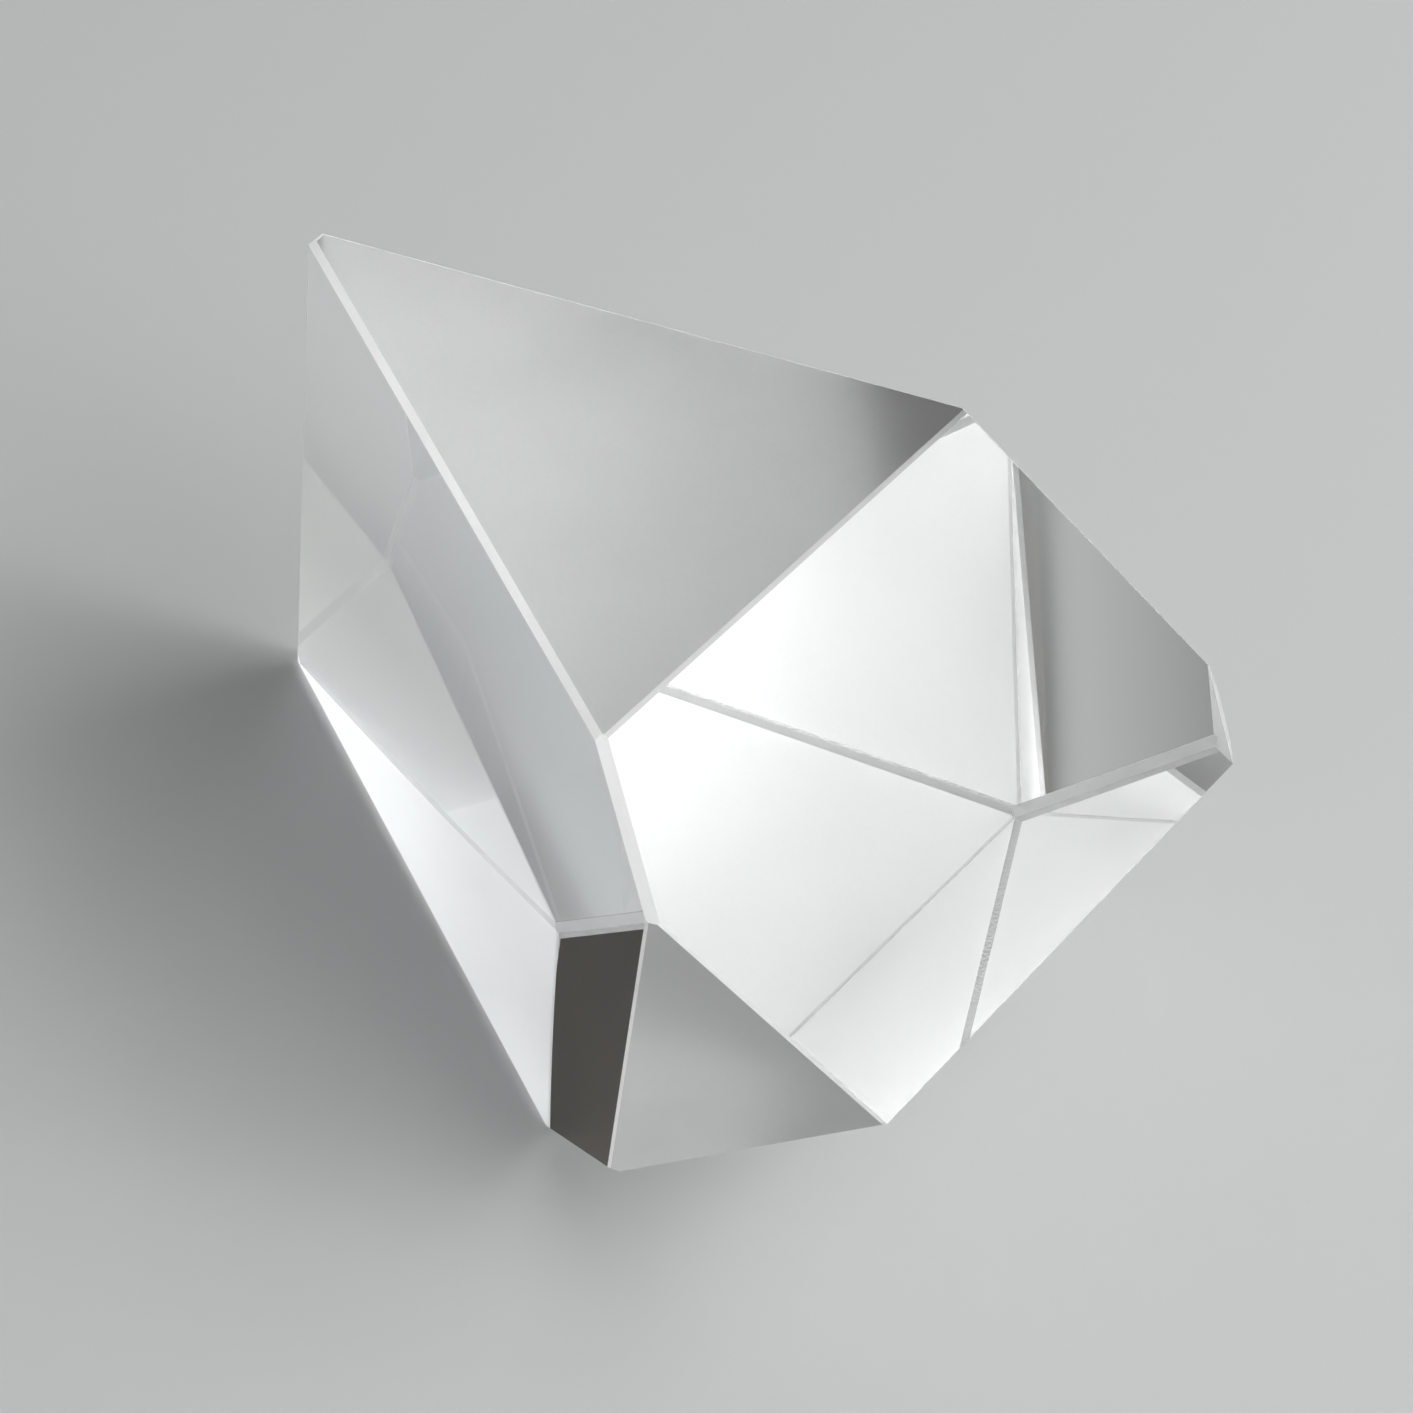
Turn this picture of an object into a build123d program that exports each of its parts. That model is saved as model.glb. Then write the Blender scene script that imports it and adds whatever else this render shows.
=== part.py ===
from build123d import *
from math import cos, radians, sin, tan
import os

# Roof prism: one block of optical glass with a 48 degree wedge and a 90 degree roof.
#
# The block lies on one of its two ground side faces. Seen from above it is a wedge: two
# polished windows leave the apex and spread towards the roof. Seen from the side it is a
# house lying down: two polished roof faces meet in a sharp ridge at half height. The two
# ends of the ridge, where the windows would run out into points, are ground off parallel
# to the opposite window, one deeper than the other. Every edge but the ridge has a narrow
# bevel that keeps it from chipping.
#
# The row frame has +X from the apex to the ridge, +Y from the exit window to the entrance
# window, and +Z up from the side face that the block rests on. Its origin is the centre of
# the bounding box's bottom.

# Driving dimensions, in millimetres and degrees.
side_width = 15.0  # between the two ground side faces
base_length = 13.7  # apex line to the edge between a side face and the roof
apex_angle = 48.0  # between the two windows
roof_angle = 90.0  # between the two roof faces
deep_corner = 4.15  # ground off the ridge's end at the exit window
shallow_corner = 1.2  # ground off the ridge's end at the entrance window
apex_flat = 0.45  # width of the flat along the apex
side_bevel = 0.15  # set back along both faces at the windows' and the apex's side edges
roof_bevel = 0.23  # the same between a window and the roof
shallow_bevel = 0.30  # the same round the shallow corner flat
deep_bevel = 0.05  # the same round the deep corner flat
eaves_bevel = 0.06  # the same between a side face and the roof

half_width = side_width / 2
half_apex = radians(apex_angle / 2)
half_roof = radians(roof_angle / 2)
ridge_length = base_length + half_width / tan(half_roof)  # apex line to the ridge
ridge_reach = 2 * ridge_length * sin(half_apex)  # either window to the ridge's far end
roof_reach = ridge_length * sin(half_roof)  # apex line's centre to either roof face
flat_setback = apex_flat / 2 / tan(half_apex)  # apex line to the apex flat

# Each flat of the block is its outward normal and its distance from the centre of the apex
# line, in which the two windows would meet.
entrance_window = (Vector(-sin(half_apex), cos(half_apex), 0), 0)
exit_window = (Vector(-sin(half_apex), -cos(half_apex), 0), 0)
top_side = (Vector(0, 0, 1), half_width)
bottom_side = (Vector(0, 0, -1), half_width)
upper_roof = (Vector(sin(half_roof), 0, cos(half_roof)), roof_reach)
lower_roof = (Vector(sin(half_roof), 0, -cos(half_roof)), roof_reach)
deep_flat = (-entrance_window[0], ridge_reach - deep_corner)
shallow_flat = (-exit_window[0], ridge_reach - shallow_corner)
apex_land = (Vector(-1, 0, 0), -flat_setback)
windows = (entrance_window, exit_window)
sides = (top_side, bottom_side)
roof = (upper_roof, lower_roof)

# Each bevel is its set back and the two flats that it lies between.
bevels = [
    *((side_bevel, face, side) for face in (*windows, apex_land) for side in sides),
    *((roof_bevel, window, slope) for window in windows for slope in roof),
    *((shallow_bevel, shallow_flat, face) for face in (entrance_window, *roof)),
    *((deep_bevel, deep_flat, face) for face in (exit_window, *roof)),
    (eaves_bevel, top_side, upper_roof),
    (eaves_bevel, bottom_side, lower_roof),
]


def house():
    """The block as seen from the side, long enough across for the wedge."""
    with BuildSketch(Plane.XZ) as section:
        with BuildLine():
            Polyline(
                (0, -half_width),
                (base_length, -half_width),
                (ridge_length, 0),
                (base_length, half_width),
                (0, half_width),
                close=True,
            )
        make_face()
    return extrude(section.sketch, amount=ridge_length * tan(half_apex), both=True)


def wedge():
    """The block as seen from above, with both ends of the ridge still sharp."""
    half_ridge = ridge_length * tan(half_apex)
    with BuildSketch(Plane.XY) as outline:
        with BuildLine():
            Polyline(
                (flat_setback, -apex_flat / 2),
                (ridge_length, -half_ridge),
                (ridge_length, half_ridge),
                (flat_setback, apex_flat / 2),
                close=True,
            )
        make_face()
    return extrude(outline.sketch, amount=half_width, both=True)


def ground_off(block, normal, distance):
    """The block without what stands out past the plane with that normal and distance."""
    plane = Plane(origin=normal * distance, z_dir=normal)
    return split(block, bisect_by=plane, keep=Keep.BOTTOM)


def bevelled(block, set_back, first, second):
    """The block with the edge between two flats ground down, set back along both."""
    (first_normal, first_distance), (second_normal, second_distance) = first, second
    outward = first_normal + second_normal
    edge_distance = (first_distance + second_distance) / outward.length
    half_turn = radians(first_normal.get_angle(second_normal) / 2)
    return ground_off(block, outward.normalized(), edge_distance - set_back * sin(half_turn))


def roof_prism():
    """The finished block, standing on its bottom side face round the origin."""
    block = house() & wedge()
    block = ground_off(block, *deep_flat)
    block = ground_off(block, *shallow_flat)
    for set_back, first, second in bevels:
        block = bevelled(block, set_back, first, second)
    box = block.bounding_box()
    return Pos(-box.center().X, -box.center().Y, -box.min.Z) * block


os.makedirs("parts", exist_ok=True)
export_step(roof_prism(), "parts/roof_prism.step")
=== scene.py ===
from math import cos, pi, radians, sin

import bpy
from mathutils import Matrix, Vector

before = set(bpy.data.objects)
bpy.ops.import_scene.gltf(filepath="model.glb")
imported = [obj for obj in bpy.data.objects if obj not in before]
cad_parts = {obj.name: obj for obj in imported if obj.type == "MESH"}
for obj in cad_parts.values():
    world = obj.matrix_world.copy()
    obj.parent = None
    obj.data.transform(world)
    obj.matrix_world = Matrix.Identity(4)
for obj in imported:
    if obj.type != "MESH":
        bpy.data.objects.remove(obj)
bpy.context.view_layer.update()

# A roof prism on a pale floor. The CAD solid has every flat and bevel of the real block, so
# this script only gives each of its faces a finish: polished glass on the two windows
# and the two roof faces, ground glass on the side faces and corner flats, and a brighter
# ground glass on the bevels. The ground finishes and the lamps' places are set by the photo's
# greys. The underside is seen only through the glass; it is the same ground glass as the top
# side but painted whiter, and this painted light makes the inside as bright as in the photo.
#
# Lengths are metres, as Blender's are. The frame is the CAD's: +X from the apex to the
# ridge, +Y from the exit window to the entrance window, +Z up.

MM = 0.001

GLASS_IOR = 1.5688  # barium crown, the usual glass of these prisms
GLASS_COLOUR = (0.985, 0.995, 0.99, 1)
COATING_IOR = 1.38  # magnesium fluoride
COATING_NM = 100  # a quarter of green light's wavelength, inside the coating
HAZE_ROUGHNESS = 0.02  # where the polish is haziest
HAZE_PATCH = 1.5 * MM

GRAIN = 0.08 * MM  # a grain's width
GROUND_PATCH = 2 * MM
SATIN = (0.3, 0.4)  # lowest and highest roughness
MATT = (0.5, 0.7)
GRAIN_STRENGTH = 0.06
GRAIN_DEPTH = 0.25  # share of the grain's width

NOISE_LOW = 0.3  # Blender's noise seldom leaves this range
NOISE_MIDDLE = 0.5
NOISE_HIGH = 0.7

FLOOR_SIZE = 3.0
FLOOR_DROP = 0.01 * MM  # keeps the floor and the block's underside out of one plane
FLOOR_COLOUR = (0.56, 0.57, 0.57, 1)
FLOOR_ROUGHNESS = 0.9

SKY_LEVEL = 0.3
SKY_COLOUR = (1, 1, 1, 1)
# A dark patch low behind the block, for the left window's strip beside the deep corner flat,
# which is nearly black in the photo.
SHADE_AZIMUTH = radians(128)
SHADE_ELEVATION = radians(4.6)
SHADE_CORE = radians(14)  # from its middle to where it starts to fade
SHADE_EDGE = radians(28)  # from its middle to where it ends
SHADE_LEVEL = 0.02

LAMP_DISTANCE = 250 * MM
LAMP_SIZE = 150 * MM
LAMP_ELEVATION = radians(50)
KEY_AZIMUTH = radians(10)
KEY_LEVEL = 0.5
SIDE_AZIMUTH = radians(45)
SIDE_LEVEL = 0.4

BOUNCES = 32
DIFFUSE_BOUNCES = 8

CAMERA_PLACE = Vector((28.86, -44.71, 76.86)) * MM
CAMERA_AIM = Vector((0.72, 0.23, 7.35)) * MM
CAMERA_ROLL = radians(9.25)
CAMERA_LENS = 100.3  # plain millimetres, as the next one is
CAMERA_SENSOR = 36
CAMERA_NEAR = 1 * MM

# Outward directions of the block's flats, from the angles that part.py gives them.
HALF_APEX = radians(24)
HALF_ROOF = radians(45)
SAME_DIRECTION = 0.9999
entrance_window = Vector((-sin(HALF_APEX), cos(HALF_APEX), 0))
exit_window = Vector((-sin(HALF_APEX), -cos(HALF_APEX), 0))
upper_roof = Vector((cos(HALF_ROOF), 0, sin(HALF_ROOF)))
lower_roof = Vector((cos(HALF_ROOF), 0, -sin(HALF_ROOF)))
top_side = Vector((0, 0, 1))
bottom_side = Vector((0, 0, -1))
upper_eaves = (top_side + upper_roof).normalized()
lower_eaves = (bottom_side + lower_roof).normalized()
deep_flat = -entrance_window
shallow_flat = -exit_window


def new_material(name):
    material = bpy.data.materials.new(name)
    material.use_nodes = True
    nodes = material.node_tree.nodes
    return material, nodes, material.node_tree.links, nodes["Principled BSDF"]


def noise(nodes, links, width):
    """Noise over the block itself, whose lumps are about that wide."""
    where = nodes.new("ShaderNodeTexCoord")
    lumps = nodes.new("ShaderNodeTexNoise")
    lumps.inputs["Scale"].default_value = 1 / width
    links.new(where.outputs["Object"], lumps.inputs["Vector"])
    return lumps.outputs["Fac"]


def spread(nodes, links, value, low, high, start=NOISE_LOW, end=NOISE_HIGH):
    """A value that runs from start to end, spread from low to high."""
    scale = nodes.new("ShaderNodeMapRange")
    scale.inputs["From Min"].default_value = start
    scale.inputs["From Max"].default_value = end
    scale.inputs["To Min"].default_value = low
    scale.inputs["To Max"].default_value = high
    links.new(value, scale.inputs["Value"])
    return scale.outputs["Result"]


def polished_glass(name, coated):
    """Clear glass with the faint haze that polishing and wiping leave in patches."""
    material, nodes, links, shader = new_material(name)
    shader.inputs["IOR"].default_value = GLASS_IOR
    shader.inputs["Transmission Weight"].default_value = 1
    shader.inputs["Base Color"].default_value = GLASS_COLOUR
    patches = noise(nodes, links, HAZE_PATCH)
    haze = spread(nodes, links, patches, 0, HAZE_ROUGHNESS, start=NOISE_MIDDLE)
    links.new(haze, shader.inputs["Roughness"])
    if coated:
        shader.inputs["Thin Film Thickness"].default_value = COATING_NM
        shader.inputs["Thin Film IOR"].default_value = COATING_IOR
    return material


def ground_glass(name, tone, clearness, roughness, unevenness):
    """Ground glass: fine grains, in patches that are a bit lighter and darker."""
    material, nodes, links, shader = new_material(name)
    shader.inputs["IOR"].default_value = GLASS_IOR
    shader.inputs["Transmission Weight"].default_value = clearness
    grains = noise(nodes, links, GRAIN)
    patches = noise(nodes, links, GROUND_PATCH)
    colour = nodes.new("ShaderNodeMath")
    colour.operation = "MULTIPLY"
    links.new(spread(nodes, links, grains, 1 - unevenness, 1), colour.inputs[0])
    links.new(spread(nodes, links, patches, tone - unevenness / 2, tone), colour.inputs[1])
    links.new(colour.outputs[0], shader.inputs["Base Color"])
    links.new(spread(nodes, links, grains, *roughness), shader.inputs["Roughness"])
    bump = nodes.new("ShaderNodeBump")
    bump.inputs["Strength"].default_value = GRAIN_STRENGTH
    bump.inputs["Distance"].default_value = GRAIN * GRAIN_DEPTH
    links.new(grains, bump.inputs["Height"])
    links.new(bump.outputs["Normal"], shader.inputs["Normal"])
    return material


def finish_flats():
    """Gives each face the finish it has on the real block, but for the underside, which is painted
    whiter as painted light; what is left over is a bevel.
    """
    roof_face = polished_glass("roof_face", coated=False)
    window = polished_glass("coated_window", coated=True)
    side = ground_glass("ground_side", tone=0.33, clearness=1, roughness=SATIN, unevenness=0.04)
    # Painted light: the underside is the same ground glass as the top side, painted whiter so that
    # the inside looks brightly lit.
    painted_bright_under = ground_glass("ground_under_painted_bright", tone=1, clearness=0.05, roughness=MATT, unevenness=0.02)
    corner = ground_glass("ground_corner", tone=0.36, clearness=1, roughness=SATIN, unevenness=0.04)
    bevel = ground_glass("ground_bevel", tone=1, clearness=0.8, roughness=MATT, unevenness=0.03)
    finishes = (
        (roof_face, (upper_roof, lower_roof)),
        (window, (entrance_window, exit_window)),
        (side, (top_side, upper_eaves)),
        (painted_bright_under, (bottom_side, lower_eaves)),
        (corner, (deep_flat, shallow_flat)),
        (bevel, ()),
    )
    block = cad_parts["roof_prism"].data
    block.materials.clear()
    for material, _ in finishes:
        block.materials.append(material)
    for face in block.polygons:
        face.use_smooth = False
        face.material_index = len(finishes) - 1
        for slot, (_, directions) in enumerate(finishes):
            if any(face.normal.dot(direction) > SAME_DIRECTION for direction in directions):
                face.material_index = slot


def floor():
    bpy.ops.mesh.primitive_plane_add(size=FLOOR_SIZE, location=(0, 0, -FLOOR_DROP))
    plane = bpy.context.object
    plane.name = "floor"
    material, _, _, shader = new_material("floor")
    shader.inputs["Base Color"].default_value = FLOOR_COLOUR
    shader.inputs["Roughness"].default_value = FLOOR_ROUGHNESS
    plane.data.materials.append(material)


def direction(azimuth, elevation):
    level = cos(elevation)
    return Vector((level * cos(azimuth), level * sin(azimuth), sin(elevation)))


def softbox(name, azimuth, level):
    """A square lamp aimed at the block. Level 1 lights a surface that faces it plainly."""
    data = bpy.data.lights.new(name, "AREA")
    data.shape = "SQUARE"
    data.size = LAMP_SIZE
    data.energy = level * pi ** 2 * LAMP_DISTANCE ** 2
    lamp = bpy.data.objects.new(name, data)
    bpy.context.scene.collection.objects.link(lamp)
    lamp.location = direction(azimuth, LAMP_ELEVATION) * LAMP_DISTANCE
    lamp.rotation_euler = (-lamp.location).to_track_quat("-Z", "Y").to_euler()


def sky():
    """Even light from all round, but for one dark patch near the floor."""
    world = bpy.data.worlds.new("studio")
    bpy.context.scene.world = world
    world.use_nodes = True
    nodes, links = world.node_tree.nodes, world.node_tree.links
    where = nodes.new("ShaderNodeTexCoord")
    toward = nodes.new("ShaderNodeVectorMath")
    toward.operation = "DOT_PRODUCT"
    toward.inputs[1].default_value = direction(SHADE_AZIMUTH, SHADE_ELEVATION)
    links.new(where.outputs["Generated"], toward.inputs[0])
    level = spread(
        nodes, links, toward.outputs["Value"], SKY_LEVEL, SHADE_LEVEL,
        start=cos(SHADE_EDGE), end=cos(SHADE_CORE),
    )
    links.new(level, nodes["Background"].inputs["Strength"])
    nodes["Background"].inputs["Color"].default_value = SKY_COLOUR


def camera():
    data = bpy.data.cameras.new("camera")
    data.lens = CAMERA_LENS
    data.sensor_width = CAMERA_SENSOR
    data.clip_start = CAMERA_NEAR
    eye = bpy.data.objects.new("camera", data)
    bpy.context.scene.collection.objects.link(eye)
    turn = (CAMERA_AIM - CAMERA_PLACE).to_track_quat("-Z", "Y").to_matrix()
    turn = turn @ Matrix.Rotation(CAMERA_ROLL, 3, "Z")
    eye.matrix_world = Matrix.Translation(CAMERA_PLACE) @ turn.to_4x4()
    bpy.context.scene.camera = eye


def light_paths():
    """Lets light bounce inside the block until it gets out, as it does in real glass."""
    cycles = bpy.context.scene.cycles
    cycles.max_bounces = BOUNCES
    cycles.glossy_bounces = BOUNCES
    cycles.transmission_bounces = BOUNCES
    cycles.diffuse_bounces = DIFFUSE_BOUNCES
    cycles.blur_glossy = 0
    cycles.sample_clamp_indirect = 0
    cycles.sampling_pattern = "TABULATED_SOBOL"  # leaves no dots inside the glass


finish_flats()
floor()
sky()
softbox("key_softbox", KEY_AZIMUTH, KEY_LEVEL)
softbox("side_softbox", SIDE_AZIMUTH, SIDE_LEVEL)
camera()
light_paths()
bpy.context.scene.view_settings.view_transform = "Standard"
